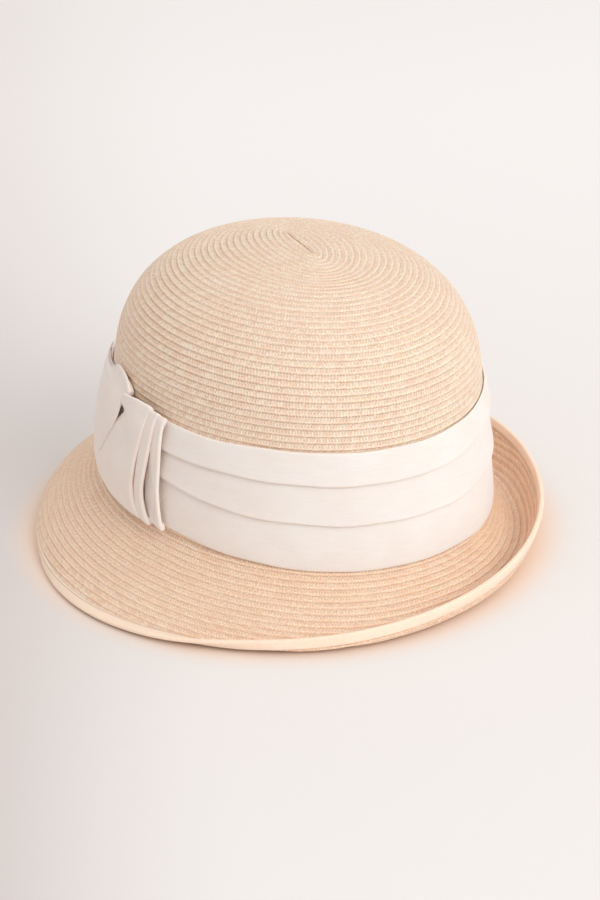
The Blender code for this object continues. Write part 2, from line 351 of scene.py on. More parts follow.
# Lights. Columns: name, place and power in watts.
LIGHTS = (
    ("front_key", (0.27, 2.08, 1.5), 24.0),
    ("side_key", (-0.9, 1.9, 1.7), 3.0),
)
LIGHT_AIM = (0.0, 0.0, 0.05)
LIGHT_SIZE = 1.4
SKY_COLOUR = (1.0, 0.945, 0.910, 1.0)
SKY_STRENGTH = 0.84


def smooth_rows(values, place):
    """Values on the smooth curve through a column that has one more value at each end than places."""
    values = np.asarray(values, float)
    index = np.clip(np.floor(place).astype(int), 0, len(values) - 4)
    share = (place - index).reshape(np.shape(place) + (1,) * (values.ndim - 1))
    before, start, end, after = (values[index + step] for step in range(4))
    square, cube = share**2, share**3
    return (
        start * (2 * cube - 3 * square + 1)
        + (end - before) / 2 * (cube - 2 * square + share)
        + end * (3 * square - 2 * cube)
        + (after - start) / 2 * (cube - square)
    )


def with_ends(values):
    """The values with one more at each end, straight on."""
    values = np.asarray(values, float)
    return np.concatenate([[2 * values[0] - values[1]], values, [2 * values[-1] - values[-2]]])


def smooth_table(rows, heights):
    """Every column of a table but its first, smoothly at heights. The first column holds heights too."""
    rows = np.asarray(rows, float)
    place = np.interp(heights, rows[:, 0], np.arange(len(rows)))
    return [smooth_rows(with_ends(column), place) for column in rows[:, 1:].T]


def round_table(rows, angles):
    """Every column of a table but its first, smoothly right round at angles. The first holds degrees."""
    rows = np.asarray(rows, float)
    degrees = np.arange(360)
    reach = np.arange(-24, 25)
    weights = np.exp(-((reach / 9.0) ** 2))
    weights /= weights.sum()
    found = []
    for column in rows[:, 1:].T:
        even = np.interp(degrees, rows[:, 0], column, period=360)
        soft = sum(weight * np.roll(even, step) for weight, step in zip(weights, reach))
        found.append(np.interp(np.degrees(angles), degrees, soft, period=360))
    return found


def soft_waves(rng, along, across, waves):
    """A sum of soft waves in millimetres, at places in metres along and across a cloth."""
    longest, shortest, count, turn, size = waves
    total = np.zeros(np.broadcast(along, across).shape)
    for _ in range(count):
        length = rng.uniform(shortest, longest)
        way = rng.uniform(-turn, turn) + math.pi / 2
        start = rng.uniform(0, 2 * math.pi)
        total += np.sin(2 * math.pi / length * (along * math.cos(way) + across * math.sin(way)) + start)
    return total / count * size


def crown_tables():
    """Heights, half lengths and half breadths of the crown, finely from the head line to the tip's rim."""
    place = np.linspace(0, len(CROWN_LEVELS) - 1, 1200)
    columns = []
    for column, size in enumerate((CROWN_HEIGHT, HEAD_HALF_LENGTH, HEAD_HALF_BREADTH)):
        values = [row[column] for row in CROWN_LEVELS]
        last = values[-2] if column == 0 else 2 * values[-1] - values[-2]
        columns.append(smooth_rows([2 * values[0] - values[1], *values, last], place) * size)
    return columns


CROWN_Z, CROWN_A, CROWN_B = crown_tables()


def crown_face(angle, height, stand_off=0.0):
    """Points on the side of the crown at angles and heights, this far out."""
    values = (np.asarray(value, float) for value in (angle, height, stand_off))
    angle, height, stand_off = np.broadcast_arrays(*values)
    half_length = np.interp(height, CROWN_Z, CROWN_A)
    half_breadth = np.interp(height, CROWN_Z, CROWN_B)
    out_x = np.sin(angle) / half_breadth
    out_y = -np.cos(angle) / half_length
    length = np.hypot(out_x, out_y)
    x = half_breadth * np.sin(angle) + out_x / length * stand_off
    y = -half_length * np.cos(angle) + out_y / length * stand_off
    return np.stack([x, y, height], axis=-1)


def meridian(angle):
    """How far up the crown each of its levels and its tip lie from the head line at one angle, and where."""
    x = np.append(CROWN_B * math.sin(angle), 0.0)
    y = np.append(-CROWN_A * math.cos(angle), 0.0)
    z = np.append(CROWN_Z, CROWN_Z[-1])
    step = np.sqrt(np.diff(x) ** 2 + np.diff(y) ** 2 + np.diff(z) ** 2)
    return np.concatenate([[0], np.cumsum(step)]), x, y, z


SIDE_LENGTH = float(meridian(math.pi / 2)[0][-1])


def dome_height(x, y):
    """The height of the crown over points of its plan."""
    low = np.zeros_like(x)
    high = np.full_like(x, len(CROWN_Z) - 1.0)
    levels = np.arange(len(CROWN_Z))
    for _ in range(18):
        middle = (low + high) / 2
        half_length = np.interp(middle, levels, CROWN_A)
        half_breadth = np.interp(middle, levels, CROWN_B)
        inside = (x / half_breadth) ** 2 + (y / half_length) ** 2 < 1
        low = np.where(inside, middle, low)
        high = np.where(inside, high, middle)
    return np.interp(low, levels, CROWN_Z)


def crown_rows(distances, angles):
    """Points on the crown at distances from the straight first row of braid, for angles round it.

    Near the tip the rows are ovals round the straight first row. Further down they keep an even distance from
    the head line.
    """
    count = len(angles)
    far = np.zeros((len(distances), count, 3))
    for column, angle in enumerate(angles):
        up, x, y, z = meridian(angle)
        wanted = SIDE_LENGTH - np.asarray(distances)
        far[:, column] = np.stack([np.interp(wanted, up, axis) for axis in (x, y, z)], axis=1)
    side_up, side_x, _, _ = meridian(math.pi / 2)
    breadth = np.interp(SIDE_LENGTH - np.asarray(distances), side_up, side_x)[:, None]
    across = breadth * np.sin(angles - SEED_TURN)[None]
    ahead = -(SEED_HALF_LENGTH + breadth) * np.cos(angles - SEED_TURN)[None]
    near_x = across * math.cos(SEED_TURN) - ahead * math.sin(SEED_TURN)
    near_y = ahead * math.cos(SEED_TURN) + across * math.sin(SEED_TURN)
    share = np.clip((np.asarray(distances) - OVAL_END) / OVAL_FADE, 0, 1)[:, None, None]
    share = share**2 * (3 - 2 * share)
    near = np.stack([near_x, near_y, dome_height(near_x, near_y)], axis=-1)
    near = np.where(share > 0.999, far, near)
    return near * (1 - share) + far * share


def brim_curves(angles):
    """For each angle, the brim's section as distances, reaches and heights, finely."""
    columns = list(zip(*BRIM_SECTIONS))
    count = len(BRIM_SECTIONS)
    place = np.asarray(angles) / (2 * math.pi) % 1.0 * count
    closed = ([column[-1], *column, column[0], column[1]] for column in columns)
    run, roll_reach, roll_drop, edge_reach, edge_drop = (
        smooth_rows(column, place)[:, None] * BRIM_WIDTH for column in closed
    )
    share = np.linspace(0, 1, 160)[None]
    weights = ((1 - share) ** 2 * share * 3, (1 - share) * share**2 * 3, share**3)
    reach = weights[0] * run * math.cos(BRIM_START_SLOPE) + weights[1] * roll_reach + weights[2] * edge_reach
    rise = -(weights[0] * run * math.sin(BRIM_START_SLOPE) + weights[1] * roll_drop + weights[2] * edge_drop)
    step = np.hypot(np.diff(reach, axis=1), np.diff(rise, axis=1))
    distance = np.concatenate([np.zeros((len(angles), 1)), np.cumsum(step, axis=1)], axis=1)
    return distance, reach, rise


def brim_points(angles, curves, distances, raise_by):
    """Points of the brim. distances and raise_by have a row for each ring and a column for each angle."""
    points = np.zeros((*distances.shape, 3))
    for column, angle in enumerate(angles):
        distance, reach, rise = (curve[column] for curve in curves)
        wanted = distances[:, column]
        at = np.clip(wanted, 0.0, distance[-1])
        run_reach = np.gradient(reach, distance)
        run_rise = np.gradient(rise, distance)
        along = np.stack([np.interp(at, distance, run_reach), np.interp(at, distance, run_rise)], axis=1)
        along /= np.linalg.norm(along, axis=1)[:, None]
        lift = raise_by[:, column]
        out = np.interp(at, distance, reach) - along[:, 1] * lift
        up = np.interp(at, distance, rise) + along[:, 0] * lift
        foot = crown_face(angle, 0.0, 0.0)
        ahead = crown_face(angle, 0.0, 1.0) - foot
        points[:, column] = foot + ahead * out[:, None]
        points[:, column, 2] = up
        neck = wanted < 0
        points[neck, column] = crown_face(angle, -wanted[neck], lift[neck])
    return points


def face_normals(points):
    """Unit normals of a grid of points that is closed round, pointing out of the hat."""
    down = np.gradient(points, axis=0)
    along = np.roll(points, -1, axis=1) - np.roll(points, 1, axis=1)
    normals = np.cross(along, -down)
    length = np.linalg.norm(normals, axis=2, keepdims=True)
    normals = np.where(length > 1e-12, normals / np.maximum(length, 1e-12), (0.0, 0.0, 1.0))
    return normals


def shell_mesh(name, points, place, row_uv, skip=()):
    """A mesh over a grid of points that closes both ways. skip holds the rows that no face starts from.

    row_uv gives, for each row of faces, the pitch of its plaits and the places across at its two rings.
    """
    rows, columns = points.shape[:2]
    matrix = np.array(place)
    flat = points.reshape(-1, 3) @ matrix[:3, :3].T + matrix[:3, 3]
    faces = []
    uvs = []
    column = np.arange(columns)
    after = (column + 1) % columns
    for row in (row for row in range(rows) if row not in skip):
        above = (row + 1) % rows
        corners = ((row, column), (row, after), (above, after), (above, column))
        faces.append(np.stack([ring * columns + spot for ring, spot in corners], axis=1))
        steps = np.linalg.norm(points[row, after] - points[row, column], axis=1)
        if steps.sum() < 1e-6:
            steps = np.linalg.norm(points[above, after] - points[above, column], axis=1)
        run = np.concatenate([[0], np.cumsum(steps)])
        pitch, low, high = row_uv[row]
        along = run / run[-1] * max(1, round(run[-1] / pitch))
        corner = np.zeros((columns, 4, 2))
        corner[:, 0, 0] = corner[:, 3, 0] = along[:-1]
        corner[:, 1, 0] = corner[:, 2, 0] = along[1:]
        corner[:, 0, 1] = corner[:, 1, 1] = low
        corner[:, 2, 1] = corner[:, 3, 1] = high
        uvs.append(corner.reshape(-1, 2))
    mesh = bpy.data.meshes.new(name)
    mesh.from_pydata(flat.tolist(), [], np.concatenate(faces).tolist())
    layer = mesh.uv_layers.new(name="braid")
    layer.data.foreach_set("uv", np.concatenate(uvs).astype(np.float32).ravel())
    return mesh


def cloth_mesh(name, grids, place, closed_round=False):
    """A mesh over grids of points of one cloth, whose braid layer holds metres along and across the cloth."""
    vertices, faces, uvs = [], [], []
    matrix = np.array(place)
    this, after = slice(None, -1), slice(1, None)
    corners = ((this, this), (this, after), (after, after), (after, this))
    first = 0
    for points in grids:
        rows, columns = points.shape[:2]
        loop = np.concatenate([points, points[:, :1]], axis=1) if closed_round else points
        steps = np.linalg.norm(np.diff(loop, axis=1), axis=2)
        along = np.concatenate([np.zeros((rows, 1)), np.cumsum(steps, axis=1)], axis=1)
        along = np.repeat(along.mean(axis=0, keepdims=True), rows, axis=0)
        steps = np.linalg.norm(np.diff(loop, axis=0), axis=2)
        across = np.concatenate([np.zeros((1, loop.shape[1])), np.cumsum(steps, axis=0)], axis=0)
        place_uv = np.stack([along, across], axis=-1)
        index = first + np.arange(rows * columns).reshape(rows, columns)
        if closed_round:
            index = np.concatenate([index, index[:, :1]], axis=1)
        faces.append(np.stack([index[corner] for corner in corners], axis=-1).reshape(-1, 4))
        uvs.append(np.stack([place_uv[corner] for corner in corners], axis=-2).reshape(-1, 2))
        vertices.append(points.reshape(-1, 3) @ matrix[:3, :3].T + matrix[:3, 3])
        first += rows * columns
    mesh = bpy.data.meshes.new(name)
    mesh.from_pydata(np.concatenate(vertices).tolist(), [], np.concatenate(faces).tolist())
    layer = mesh.uv_layers.new(name="braid")
    layer.data.foreach_set("uv", np.concatenate(uvs).astype(np.float32).ravel())
    return mesh


def thicken(piece, wall):
    solid = piece.modifiers.new("wall", "SOLIDIFY")
    solid.thickness = wall
    solid.offset = 0.0


def weld(mesh, distance):
    """Merges points that lie together, and drops the faces that this leaves with no width."""
    shape = bmesh.new()
    shape.from_mesh(mesh)
    bmesh.ops.remove_doubles(shape, verts=shape.verts[:], dist=distance)
    bmesh.ops.dissolve_degenerate(shape, edges=shape.edges[:], dist=distance)
    loose = [vertex for vertex in shape.verts if not vertex.link_faces]
    bmesh.ops.delete(shape, geom=loose, context="VERTS")
    shape.to_mesh(mesh)
    shape.free()


def make_piece(name, mesh, material, slot, *nodes):
    mesh.materials.append(material)
    mesh.shade_smooth()
    piece = bpy.data.objects.new(name, mesh)
    bpy.context.scene.collection.objects.link(piece)
    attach(piece, "root")
    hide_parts(*nodes)
    return piece


def hat_place():
    """The matrix from the hat's own axes to the frame, found by laying the crown in its solid's box."""
    lean = Euler((-BACK_LEAN, -RIGHT_LEAN, 0.0)).to_matrix().to_4x4()
    angles = np.linspace(0, 2 * math.pi, 60, endpoint=False)
    heights = CROWN_SEAM_HEIGHT + (CROWN_HEIGHT - CROWN_SEAM_HEIGHT) * np.sin(np.linspace(0, math.pi / 2, 13))
    rings = np.concatenate([crown_face(angles, height) for height in heights])
    rings = rings @ np.array(lean)[:3, :3].T
    low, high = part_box("crown")
    middle = (rings.min(axis=0) + rings.max(axis=0)) / 2
    move = ((low.x + high.x) / 2 - middle[0], (low.y + high.y) / 2 - middle[1], high.z - rings[:, 2].max())
    return Matrix.Translation(Vector(move)) @ lean


class Nodes:
    """Builds a material's nodes, one short call for each."""

    def __init__(self, name):
        self.material = bpy.data.materials.new(name)
        self.material.use_nodes = True
        self.tree = self.material.node_tree
        self.shader = self.tree.nodes["Principled BSDF"]

    def add(self, kind, inputs=(), **settings):
        node = self.tree.nodes.new(kind)
        for key, value in settings.items():
            setattr(node, key, value)
        for key, value in dict(inputs).items():
            self.put(node.inputs[key], value)
        return node

    def put(self, socket, value):
        if hasattr(value, "is_output"):
            self.tree.links.new(value, socket)
        else:
            socket.default_value = value

    def math(self, operation, *values):
        node = self.add("ShaderNodeMath", operation=operation)
        for socket, value in zip(node.inputs, values):
            self.put(socket, value)
        return node.outputs[0]

    def ramp(self, value, low, high, to_low=0.0, to_high=1.0):
        node = self.add("ShaderNodeMapRange", interpolation_type="SMOOTHSTEP")
        for socket, number in zip(node.inputs, (value, low, high, to_low, to_high)):
            self.put(socket, number)
        return node.outputs[0]

    def mix(self, share, one, two):
        node = self.add("ShaderNodeMix", data_type="RGBA")
        self.put(node.inputs[0], share)
        for socket, colour in zip(node.inputs[6:8], (one, two)):
            self.put(socket, (*colour, 1.0) if isinstance(colour, tuple) else colour)
        return node.outputs[2]

    def noise(self, scale, detail=2.0, vector=None, roughness=0.5):
        node = self.add("ShaderNodeTexNoise", {"Scale": scale, "Detail": detail, "Roughness": roughness})
        if vector is not None:
            self.put(node.inputs["Vector"], vector)
        return node.outputs[0]

    def position(self):
        return self.add("ShaderNodeTexCoord").outputs["Object"]

    def along_way(self, way):
        """How far in metres a place lies from the hat's middle, along a level way."""
        split = self.add("ShaderNodeSeparateXYZ", {0: self.position()})
        across = self.math("MULTIPLY", split.outputs[0], way[0])
        return self.math("ADD", across, self.math("MULTIPLY", split.outputs[1], way[1]))

    def braid(self):
        """The braid layer and its two values."""
        layer = self.add("ShaderNodeUVMap", uv_map="braid").outputs[0]
        split = self.add("ShaderNodeSeparateXYZ", {0: layer})
        return layer, split.outputs[0], split.outputs[1]

    def bump(self, strength, depth, height):
        values = {"Strength": strength, "Distance": depth, "Height": height}
        self.put(self.shader.inputs["Normal"], self.add("ShaderNodeBump", values).outputs[0])

    def glow(self, weight, colours, reach):
        """Light that goes through the cloth or straw and comes out nearby, this far at the most."""
        self.shader.inputs["Subsurface Weight"].default_value = weight
        self.shader.inputs["Subsurface Radius"].default_value = colours
        self.shader.inputs["Subsurface Scale"].default_value = reach


def straw_material(name, light, dark, neck=None):
    """Plaited straw. The braid layer gives plaits along a row, and the row's number and place across.

    neck is a colour of painted warm shade and bounced light: the first rows turn towards it, most at the
    camera's right, where light only comes off the straw round them.
    """
    n = Nodes(name)
    _, along, across = n.braid()
    row = n.math("FLOOR", across)
    share = n.math("FRACT", across)
    along = n.math("ADD", along, n.math("FRACT", n.math("MULTIPLY", row, ROW_SHIFT)))
    wander = n.math("SUBTRACT", n.noise(420.0, 1.0, n.position()), 0.5)
    along = n.math("ADD", along, n.math("MULTIPLY", wander, STRAW_WANDER))
    slant = n.math("MULTIPLY", share, STRAW_SLANT)
    first = n.math("ADD", along, slant)
    second = n.math("SUBTRACT", along, slant)
    first_part = n.math("FRACT", first)
    second_part = n.math("FRACT", second)
    first_round = n.math("SINE", n.math("MULTIPLY", first_part, math.pi))
    second_round = n.math("SINE", n.math("MULTIPLY", second_part, math.pi))
    first_cell = n.math("FLOOR", first)
    second_cell = n.math("FLOOR", second)
    turn = n.math("FLOORED_MODULO", n.math("ADD", first_cell, second_cell), 2.0)
    over_first = n.math("MULTIPLY", first_round, n.math("ADD", n.math("MULTIPLY", second_round, 0.5), 0.5))
    over_second = n.math("MULTIPLY", second_round, n.math("ADD", n.math("MULTIPLY", first_round, 0.5), 0.5))
    other = n.math("MULTIPLY", over_second, n.math("SUBTRACT", 1.0, turn))
    plait = n.math("ADD", n.math("MULTIPLY", over_first, turn), other)
    cell = n.add("ShaderNodeCombineXYZ", {0: first_cell, 1: second_cell, 2: row}).outputs[0]
    chance = n.add("ShaderNodeTexWhiteNoise", {"Vector": cell}, noise_dimensions="3D").outputs[0]
    grain = n.noise(2600.0, 2.0, n.position())
    open_part = n.ramp(share, 0.52, 0.72, 1.0, 0.30)
    woven = n.math("MULTIPLY", n.math("ADD", plait, n.math("MULTIPLY", chance, 0.45)), open_part)
    height = n.math("ADD", woven, n.math("MULTIPLY", grain, 0.35))
    n.bump(0.95, STRAW_DEPTH, height)
    patches = n.noise(28.0, 3.0, n.position())
    tone = n.math("ADD", n.math("MULTIPLY", chance, 0.55), n.math("MULTIPLY", patches, 0.45))
    colour = n.mix(n.ramp(tone, 0.15, 0.85), dark, light)
    # Painted warm shade and bounced light on the first rows, strongest on the side at the camera's right.
    if neck:
        rolled = n.ramp(n.along_way(CAMERA_RIGHT), 0.070, 0.105, 0.12, 1.0)
        colour = n.mix(n.math("MULTIPLY", n.ramp(across, 1.0, 9.0, 0.66, 0.0), rolled), colour, neck)
    # Painted shade in the gaps between the plaits, stronger at some of them at random.
    hole_shade = n.math("MULTIPLY", n.ramp(plait, 0.05, 0.48, GAP_SHADE_STRENGTH, 0.0), open_part)
    hole_shade = n.math("MULTIPLY", hole_shade, n.ramp(chance, 0.0, 1.0, 1.45, 0.35))
    # Dotted holes of the stitches near each row's free edge: real stitches, darkened with painted shade that
    # also stands in for the shade line at the row's edge.
    stitch_shade = n.math("ABSOLUTE", n.math("SUBTRACT", share, STITCH_PLACE))
    stitch_shade = n.ramp(stitch_shade, 0.02, 0.07, GAP_SHADE_STRENGTH, 0.0)
    stitch_shade = n.math("MULTIPLY", stitch_shade, n.ramp(n.math("FRACT", along), 0.35, 0.50))
    # Painted shade where each row tucks under the lip of the row before.
    under = n.ramp(share, 0.0, 0.14, GAP_SHADE_STRENGTH * 1.1, 0.0)
    # Painted shade along the groove between the halves of the straight first row.
    seed = n.ramp(across, 0.06, 0.20, 1.0, 0.0)
    # All the painted shade above turns the colour towards the dark gap colour.
    shade = n.math("MAXIMUM", n.math("MAXIMUM", hole_shade, under), n.math("MAXIMUM", seed, stitch_shade))
    gap_shade_colour = tuple(value * factor for value, factor in zip(dark, GAP_SHADE_SHARES))
    colour = n.mix(shade, colour, gap_shade_colour)
    # Painted highlight on the crests of some plaits.
    painted_glint = n.math("MULTIPLY", n.ramp(plait, 0.75, 0.95), n.ramp(chance, 0.55, 0.75))
    colour = n.mix(painted_glint, colour, tuple(min(1.0, value * 1.10) for value in light))
    n.put(n.shader.inputs["Base Color"], colour)
    n.put(n.shader.inputs["Roughness"], n.ramp(chance, 0.0, 1.0, 0.50, 0.78))
    n.shader.inputs["Specular IOR Level"].default_value = 0.35
    n.glow(*STRAW_GLOW)
    return n.material


def hem_material(name, light, dark):
    """Smooth straw with fine ribs, and a row of stitches near its inner edge, sunk in a groove and darkened
    with painted shade.
    """
    n = Nodes(name)
    _, along, across = n.braid()
    rib = n.math("SINE", n.math("MULTIPLY", along, 2 * math.pi))
    grain = n.noise(1500.0, 2.0, n.position())
    height = n.math("ADD", n.math("MULTIPLY", rib, 0.10), n.math("MULTIPLY", grain, 0.6))
    line = n.ramp(n.math("ABSOLUTE", n.math("SUBTRACT", across, HEM_STITCH_PLACE)), 0.006, 0.020, 1.0, 0.0)
    height = n.math("SUBTRACT", height, n.math("MULTIPLY", line, 1.6))
    n.bump(0.8, RIB_DEPTH, height)
    patches = n.noise(60.0, 3.0, n.position())
    tone = n.math("ADD", n.math("MULTIPLY", grain, 0.5), n.math("MULTIPLY", patches, 0.5))
    colour = n.mix(n.ramp(tone, 0.3, 0.7), dark, light)
    # Dotted stitches in the groove: their holes, darkened with painted shade.
    stitch_shade = n.math("MULTIPLY", line, n.ramp(n.math("FRACT", along), 0.30, 0.55, 0.45, 1.0))
    gap_shade_colour = tuple(value * factor for value, factor in zip(dark, GAP_SHADE_SHARES))
    n.put(n.shader.inputs["Base Color"], n.mix(n.math("MULTIPLY", stitch_shade, 0.75), colour, gap_shade_colour))
    n.shader.inputs["Roughness"].default_value = 0.65
    n.shader.inputs["Specular IOR Level"].default_value = 0.35
    n.glow(*STRAW_GLOW)
    return n.material


def cloth_material(name, light, dark):
    """Fine plain-woven cloth with slubs."""
    n = Nodes(name)
    layer, along, across = n.braid()
    warp = n.math("SINE", n.math("MULTIPLY", along, 2 * math.pi / THREAD_PITCH))
    weft = n.math("SINE", n.math("MULTIPLY", across, 2 * math.pi / THREAD_PITCH))
    weave = n.math("MULTIPLY", warp, weft)
    long_way = n.add("ShaderNodeMapping", {"Vector": layer, "Scale": (90.0, 1500.0, 1.0)}).outputs[0]
    cross_way = n.add("ShaderNodeMapping", {"Vector": layer, "Scale": (1700.0, 120.0, 1.0)}).outputs[0]
    slub = n.noise(1.0, 3.0, long_way, 0.6)
    cross_slub = n.noise(1.0, 3.0, cross_way, 0.6)
    height = n.math("ADD", n.math("MULTIPLY", weave, 0.16), n.math("MULTIPLY", slub, 0.9))
    height = n.math("ADD", height, n.math("MULTIPLY", cross_slub, 0.6))
    n.bump(0.5, THREAD_DEPTH, height)
    patches = n.noise(60.0, 3.0, n.position())
    tone = n.math("ADD", n.math("MULTIPLY", slub, 0.5), n.math("MULTIPLY", patches, 0.5))
    n.put(n.shader.inputs["Base Color"], n.mix(n.ramp(tone, 0.3, 0.7), dark, light))
    n.shader.inputs["Roughness"].default_value = 0.85
    n.shader.inputs["Specular IOR Level"].default_value = 0.2
    n.shader.inputs["Sheen Weight"].default_value = 0.15
    n.shader.inputs["Sheen Roughness"].default_value = 0.5
    n.glow(*CLOTH_GLOW)
    return n.material


def row_table(start, rows, stops):
    """Distances, heights and braid places of the rings over rows of braid, from the first row outward."""
    distances, heights, places = [], [], []
    for row in range(rows):
        for share, height in stops:
            distances.append(start + (row + share) * BRAID_PITCH)
            heights.append(height * MM)
            places.append(row + share)
    return np.array(distances), np.array(heights), places


def braid_uv(places):
    """For each ring of a braid face, the plait's pitch and the places across at this ring and at the next."""
    table = []
    for place, following in zip(places, [*places[1:], places[-1]]):
        row = math.floor(min(place, following))
        low, high = ((x - row if x - row < 1 else 0.999) + row for x in (place, following))
        table.append((PLAIT_PITCH, low, high))
    return table


def make_crown(material, place):
    """The crown: an outer face of lapping rows, an inner face of their backs, and the seam's edge."""
    angles = np.linspace(0, 2 * math.pi, CROWN_COLUMNS, endpoint=False)
    reach = SIDE_LENGTH - CROWN_SEAM_HEIGHT
    hidden = SIDE_LENGTH - BAND_HEIGHT + 2 * BRAID_PITCH
    rows = int(reach / BRAID_PITCH)
    outer = [(0.0, SEED_GROOVE, 0.0)]
    for row in range(rows + 1):
        for share, height in OUTER_ROW:
            distance = (row + share) * BRAID_PITCH
            if distance > reach or distance > hidden and share > 0 or distance == 0:
                continue
            outer.append((distance, height if distance < hidden else HIDDEN_HEIGHT, row + share))
    outer.append((reach, HIDDEN_HEIGHT, outer[-1][2] + 0.01))
    inner = [(0.0, 0.0, 0.0)]
    for row in range(rows + 1):
        for share, height in INNER_ROW:
            distance = (row + share) * BRAID_PITCH
            if distance < reach:
                inner.append((distance, height, row + share))
    inner.append((reach, 0.0, inner[-1][2] + 0.01))
    inner.reverse()
    grids = []
    for face, wall in ((inner, STRAW_WALL), (outer, 0.0)):
        distances = np.array([row[0] for row in face])
        base = crown_rows(distances, angles)
        out = face_normals(base)
        if wall:
            out = -out
        seeds = distances < 1e-9
        out[seeds] = (0.0, 0.0, 1.0)
        offset = np.array([row[1] for row in face]) * MM - wall
        grids.append(base + out * offset[:, None, None])
    points = np.concatenate(grids)
    places = [row[2] for row in inner] + [row[2] for row in outer]
    mesh = shell_mesh("crown_straw", points, place, braid_uv(places), skip=(len(inner) - 1,))
    weld(mesh, 2e-6)
    return make_piece("crown_straw", mesh, material, "straw", "crown")


def make_brim(material, place):
    """The brim: lapping rows on top, their backs below, cut off under the hem's edge."""
    angles = np.linspace(0, 2 * math.pi, BRIM_COLUMNS, endpoint=False)
    curves = brim_curves(angles)
    neck = CROWN_SEAM_HEIGHT - CLEARANCE
    length = curves[0][:, -1]
    rows = int((length.max() + neck) / BRAID_PITCH) + 1
    top_distances, top_heights, top_places = row_table(-neck, rows, BRIM_ROW)
    low_distances, low_heights, low_places = row_table(-neck, rows, BRIM_BACK_ROW)
    limit = length - HEM_WIDTH - HEM_GAP
    share = np.interp(np.degrees(angles), *zip(*ROLLED_ROWS))
    stretch = 1 + share * (np.clip(length, *ROLLED_LIMITS) / ROLLED_LENGTH - 1)
    grids = []
    faces = ((low_distances[::-1], -low_heights[::-1], STRAW_WALL), (top_distances, top_heights, 0))
    for distances, heights, wall in faces:
        wanted = distances[:, None] * stretch[None]
        ended = wanted >= limit[None]
        raise_by = np.repeat(heights[:, None], len(angles), axis=1) - wall
        raise_by = np.where(ended, -wall - (0.0 if wall else HEM_GAP), raise_by)
        grids.append(brim_points(angles, curves, np.minimum(wanted, limit[None]), raise_by))
    points = np.concatenate(grids)
    mesh = shell_mesh("brim_straw", points[:, ::-1], place, braid_uv(low_places[::-1] + top_places))
    weld(mesh, 2e-6)
    return make_piece("brim_straw", mesh, material, "straw", "brim")


def soft_round(values, reach):
    """Values at even steps right round, each evened out with those within about reach steps."""
    steps = np.arange(-2 * reach, 2 * reach + 1)
    weights = np.exp(-((steps / reach) ** 2))
    return sum(weight * np.roll(values, step) for weight, step in zip(weights / weights.sum(), steps))


def make_hem(material, place):
    """The strip round the edge: a soft rounded section that lies straight on from the braid's last row."""
    angles = np.linspace(0, 2 * math.pi, HEM_COLUMNS, endpoint=False)
    distance, reach, rise = brim_curves(angles)
    inner = []
    for lines in (reach, rise):
        inner.append([np.interp(d[-1] - HEM_WIDTH, d, line) for d, line in zip(distance, lines)])
    ends = np.array([reach[:, -1], rise[:, -1]])
    middle = np.array([soft_round(line, HEM_EVENNESS) for line in (ends + inner) / 2])
    way = (ends - inner)[0] + 1j * (ends - inner)[1]
    way = soft_round(way / np.abs(way), HEM_EVENNESS)
    way /= np.abs(way)
    turn = np.linspace(0, 2 * math.pi, HEM_SIDES, endpoint=False)
    wide = HEM_WIDTH / 2 * np.sign(np.cos(turn)) * np.abs(np.cos(turn)) ** 0.5
    thick = HEM_WALL / 2 * np.sign(np.sin(turn)) * np.abs(np.sin(turn)) ** 0.6 - STRAW_WALL / 2
    section = middle[0] + 1j * middle[1] + way * (wide + 1j * thick)[:, None]
    foot = crown_face(angles, 0.0, 0.0)
    ahead = crown_face(angles, 0.0, 1.0) - foot
    points = foot + ahead * section.real[..., None]
    points[..., 2] = section.imag
    row_uv = [(RIB_PITCH, row / HEM_SIDES, (row + 1) / HEM_SIDES) for row in range(HEM_SIDES)]
    mesh = shell_mesh("hem", points, place, row_uv)
    return make_piece("hem", mesh, material, "hem_straw", "brim_hem")


def pleat_path(edges):
    """The band's cloth from its turned top edge to its turned foot, as heights and stand-offs in millimetres.

    The cloth runs down each pleat's face to its lip, doubles back up behind it, and comes down as the next.
    """
    top, first_lip, second_lip, foot = edges
    path = [(top + over, out) for over, out in TOP_PATH]
    start = top
    for lip in (first_lip, second_lip):
        path += [(start + (lip - start) * share, out) for share, out in FACE_PATH]
        path += [(lip + over, out) for over, out in LIP_PATH]
        start = lip
    path += [(start + (foot - start) * share, out) for share, out in LAST_FACE_PATH]
    path += [(foot + over, out) for over, out in FOOT_PATH]
    return np.array([[np.broadcast_to(value, np.shape(foot)) for value in point] for point in path])


def make_sash(material, place):
    """The band: one cloth, folded into three lengthwise pleats that lap downward."""
    rng = np.random.default_rng(11)
    angles = np.linspace(0, 2 * math.pi, SASH_COLUMNS, endpoint=False)
    foot, second_lip, first_lip, top = round_table(BAND_EDGES, angles)
    around = angles * (HEAD_HALF_LENGTH + HEAD_HALF_BREADTH) / 2
    for edge, size in ((foot, 0.35), (second_lip, 0.5), (first_lip, 0.4), (top, 0.35)):
        start = rng.uniform(0, 2 * math.pi, 3)
        edge += size * sum(np.sin(angles * turns + begin) for turns, begin in zip((7, 11, 17), start)) / 3
    path = np.moveaxis(pleat_path((top, first_lip, second_lip, foot)), 1, 2)
    padded = with_ends(path)
    rows = smooth_rows(padded, np.linspace(0, len(path) - 1, 3 * len(path)))
    heights, stand_offs = rows[..., 0] * MM, rows[..., 1] * MM
    seam = np.sin(angles / 2) ** 0.3
    waves = soft_waves(rng, around[None], heights, SASH_WAVES)
    creases = soft_waves(rng, around[None], heights, SASH_CREASES)
    stand_offs = stand_offs + (waves + creases) * MM * seam
    points = crown_face(np.broadcast_to(angles, heights.shape), heights, np.maximum(stand_offs, SASH_FLOOR))
    mesh = cloth_mesh("sash", [points[::-1]], place, closed_round=True)
    sash = make_piece("sash", mesh, material, "band_cloth", "band")
    thicken(sash, SASH_CLOTH)
    return sash


